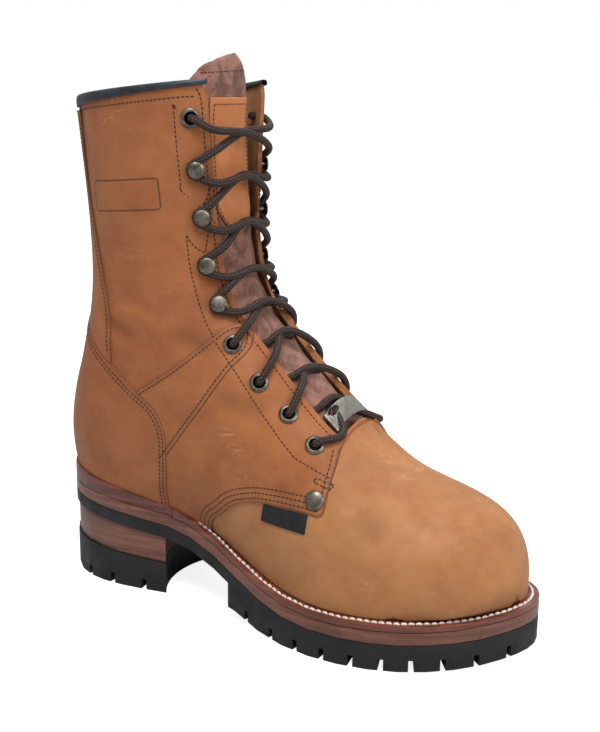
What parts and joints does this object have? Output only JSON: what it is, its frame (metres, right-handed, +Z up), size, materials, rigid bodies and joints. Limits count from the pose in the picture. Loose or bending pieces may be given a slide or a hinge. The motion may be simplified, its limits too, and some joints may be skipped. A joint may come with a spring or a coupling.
{
  "type": "logger boot",
  "caption": "Lace-up leather logger work boot for the right foot, with a tall shaft, welted lugged sole and stacked heel.",
  "frame": {"origin": "middle of the flat face that the heel rests on", "axes": "+X from heel to toe, +Y towards the inner side of the foot, +Z up; the boot rests on the plane z = 0"},
  "size_m": [0.3095, 0.1157, 0.3216],
  "materials": {
    "rubber": "matt black moulded rubber",
    "stacked_leather": "reddish-brown waxed leather edges",
    "welt": "reddish-brown leather strip",
    "insole": "plain leather board",
    "upper_leather": "tan oiled nubuck",
    "tongue_suede": "mauve-brown suede",
    "binding": "bluish-black folded binding",
    "label": "plain black woven tag",
    "pewter": "antiqued pewter metal",
    "plate": "silver metal plate",
    "lace": "dark brown round braided cord"
  },
  "bodies": {
    "root": {"outsole": "rubber", "heel_cap": "rubber", "heel_block": "stacked_leather", "midsole": "stacked_leather", "welt": "welt", "heel_rand": "welt", "insole": "insole", "upper": "upper_leather", "tongue": "tongue_suede", "tongue_patch": "upper_leather", "counter": "upper_leather", "backstay": "upper_leather", "ankle_band_outer": "upper_leather", "ankle_band_inner": "upper_leather", "quarter_outer": "upper_leather", "quarter_inner": "upper_leather", "collar_binding": "binding", "side_label": "label", "eyelet_outer_1": "pewter", "eyelet_outer_2": "pewter", "eyelet_outer_3": "pewter", "eyelet_outer_4": "pewter", "eyelet_outer_9": "pewter", "hook_outer_5": "pewter", "hook_outer_6": "pewter", "hook_outer_7": "pewter", "hook_outer_8": "pewter", "rivet_outer": "pewter", "eyelet_inner_1": "pewter", "eyelet_inner_2": "pewter", "eyelet_inner_3": "pewter", "eyelet_inner_4": "pewter", "eyelet_inner_9": "pewter", "hook_inner_5": "pewter", "hook_inner_6": "pewter", "hook_inner_7": "pewter", "hook_inner_8": "pewter", "rivet_inner": "pewter", "lace_bar": "lace", "lace_keeper": "plate", "lace_cross_1": "lace", "lace_cross_2": "lace", "lace_cross_3": "lace", "lace_cross_4": "lace", "lace_cross_5": "lace", "lace_cross_6": "lace", "lace_cross_7": "lace", "lace_cross_8": "lace"}
  },
  "joints": []
}
